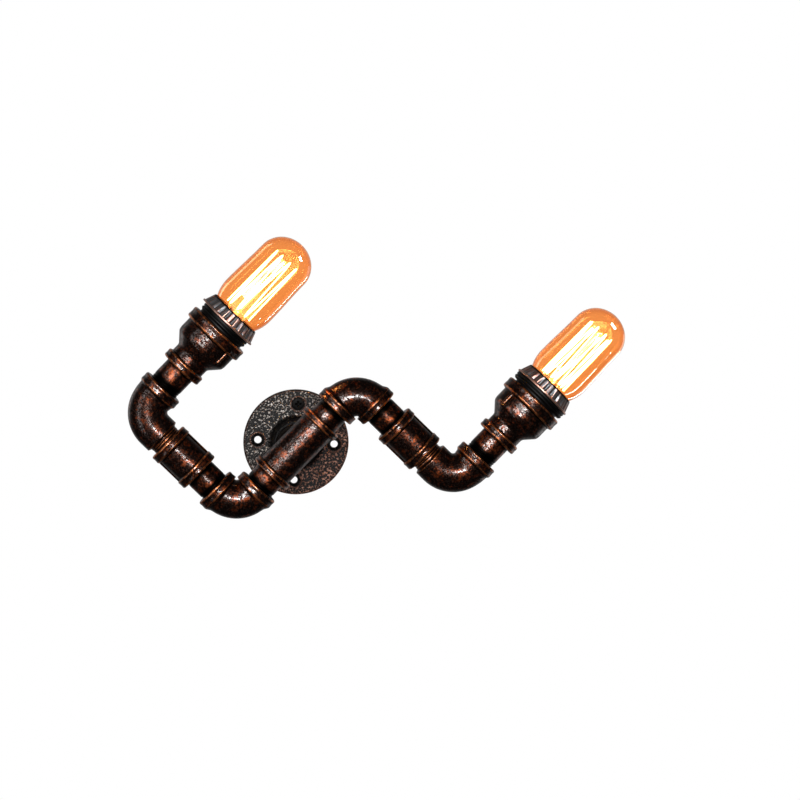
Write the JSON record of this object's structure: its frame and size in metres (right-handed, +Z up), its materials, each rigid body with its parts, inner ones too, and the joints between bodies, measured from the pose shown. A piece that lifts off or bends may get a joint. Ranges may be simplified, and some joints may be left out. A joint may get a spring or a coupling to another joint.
{
  "type": "industrial pipe wall light",
  "caption": "Zigzag of threaded iron pipe fittings on a round wall flange, with a bare tubular filament bulb in a lampholder at each end.",
  "frame": {"origin": "centre of the wall flange's back face, on the wall", "axes": "+Z up, +X to the right seen from the room, +Y into the wall"},
  "size_m": [0.3558, 0.0951, 0.2005],
  "materials": {
    "pipe_iron": "antique bronze paint over threaded iron, rubbed to copper along the edges",
    "flange_iron": "dark pebbled paint with traces of copper",
    "black_steel": "black oxide, satin",
    "black_resin": "moulded black resin, semi-gloss",
    "black_insulator": "black glass-like insulator",
    "ring_copper": "copper bronze plating, satin",
    "white_ceramic": "glazed ceramic",
    "shell_brass": "drawn brass",
    "contact_brass": "sprung brass",
    "fixing_brass": "turned brass",
    "washer_steel": "zinc-plated steel",
    "live_insulation": "brown insulation, satin",
    "neutral_insulation": "blue insulation, satin",
    "amber_glass": "clear amber glass",
    "cap_brass": "rolled brass thread",
    "tip_solder": "solder",
    "stem_glass": "clear glass",
    "glowing_filament": "glowing carbon thread",
    "hook_wire": "fine support wire"
  },
  "bodies": {
    "root": {"wall_flange": "flange_iron", "flange_screw": "black_steel", "branch_nipple": "pipe_iron", "tee": "pipe_iron", "tee_nipple_left": "pipe_iron", "tee_nipple_right": "pipe_iron", "inner_elbow_left": "pipe_iron", "inner_elbow_right": "pipe_iron", "cross_nipple_left": "pipe_iron", "cross_nipple_right": "pipe_iron", "coupling_left": "pipe_iron", "coupling_right": "pipe_iron", "street_elbow_left": "pipe_iron", "street_elbow_right": "pipe_iron", "lamp_nipple_left": "pipe_iron", "lamp_nipple_right": "pipe_iron", "reducer_left": "pipe_iron", "reducer_right": "pipe_iron", "lampholder_left": "black_resin", "lampholder_right": "black_resin", "contact_block_left": "white_ceramic", "contact_block_right": "white_ceramic", "screw_shell_left": "shell_brass", "screw_shell_right": "shell_brass", "centre_contact_left": "contact_brass", "centre_contact_right": "contact_brass", "terminal_screws_left": "contact_brass", "terminal_screws_right": "contact_brass", "fixing_tube_left": "fixing_brass", "fixing_tube_right": "fixing_brass", "fixing_washer_left": "washer_steel", "fixing_washer_right": "washer_steel", "fixing_nut_left": "fixing_brass", "fixing_nut_right": "fixing_brass", "live_lead_left": "live_insulation", "live_lead_right": "live_insulation", "neutral_lead_left": "neutral_insulation", "neutral_lead_right": "neutral_insulation"},
    "tip_left": {"tip_contact_left": "tip_solder"},
    "bulb_left": {"bulb_glass_left": "amber_glass", "bulb_cap_left": "cap_brass", "cap_insulator_left": "black_insulator", "bulb_stem_left": "stem_glass", "filament_left": "glowing_filament", "filament_hooks_left": "hook_wire"},
    "ring_left": {"shade_ring_left": "ring_copper"},
    "tip_right": {"tip_contact_right": "tip_solder"},
    "bulb_right": {"bulb_glass_right": "amber_glass", "bulb_cap_right": "cap_brass", "cap_insulator_right": "black_insulator", "bulb_stem_right": "stem_glass", "filament_right": "glowing_filament", "filament_hooks_right": "hook_wire"},
    "ring_right": {"shade_ring_right": "ring_copper"}
  },
  "joints": [
    {"name": "bulb_rise_left", "type": "slide", "parent": "root", "child": "tip_left", "axis": [0.7071, 0, 0.7071], "range_m": [0, 0.01815]},
    {"name": "bulb_turn_left", "type": "hinge", "parent": "tip_left", "child": "bulb_left", "pos_m": [-0.04632, -0.056, 0.09228], "axis": [0.7071, 0, 0.7071], "range_deg": [0, 1800]},
    {"name": "ring_turn_left", "type": "hinge", "parent": "root", "child": "ring_left", "pos_m": [-0.04632, -0.056, 0.09228], "axis": [0.7071, 0, 0.7071], "range_deg": [0, 120]},
    {"name": "bulb_rise_right", "type": "slide", "parent": "root", "child": "tip_right", "axis": [0.7071, 0, 0.7071], "range_m": [0, 0.01815]},
    {"name": "bulb_turn_right", "type": "hinge", "parent": "tip_right", "child": "bulb_right", "pos_m": [0.17826, -0.056, 0.03967], "axis": [0.7071, 0, 0.7071], "range_deg": [0, 1800]},
    {"name": "ring_turn_right", "type": "hinge", "parent": "root", "child": "ring_right", "pos_m": [0.17826, -0.056, 0.03967], "axis": [0.7071, 0, 0.7071], "range_deg": [0, 120]}
  ],
  "couplings": [
    {"joint": "bulb_rise_left", "follows": "bulb_turn_left", "m_per_rad": 0.0005775},
    {"joint": "bulb_rise_right", "follows": "bulb_turn_right", "m_per_rad": 0.0005775}
  ]
}
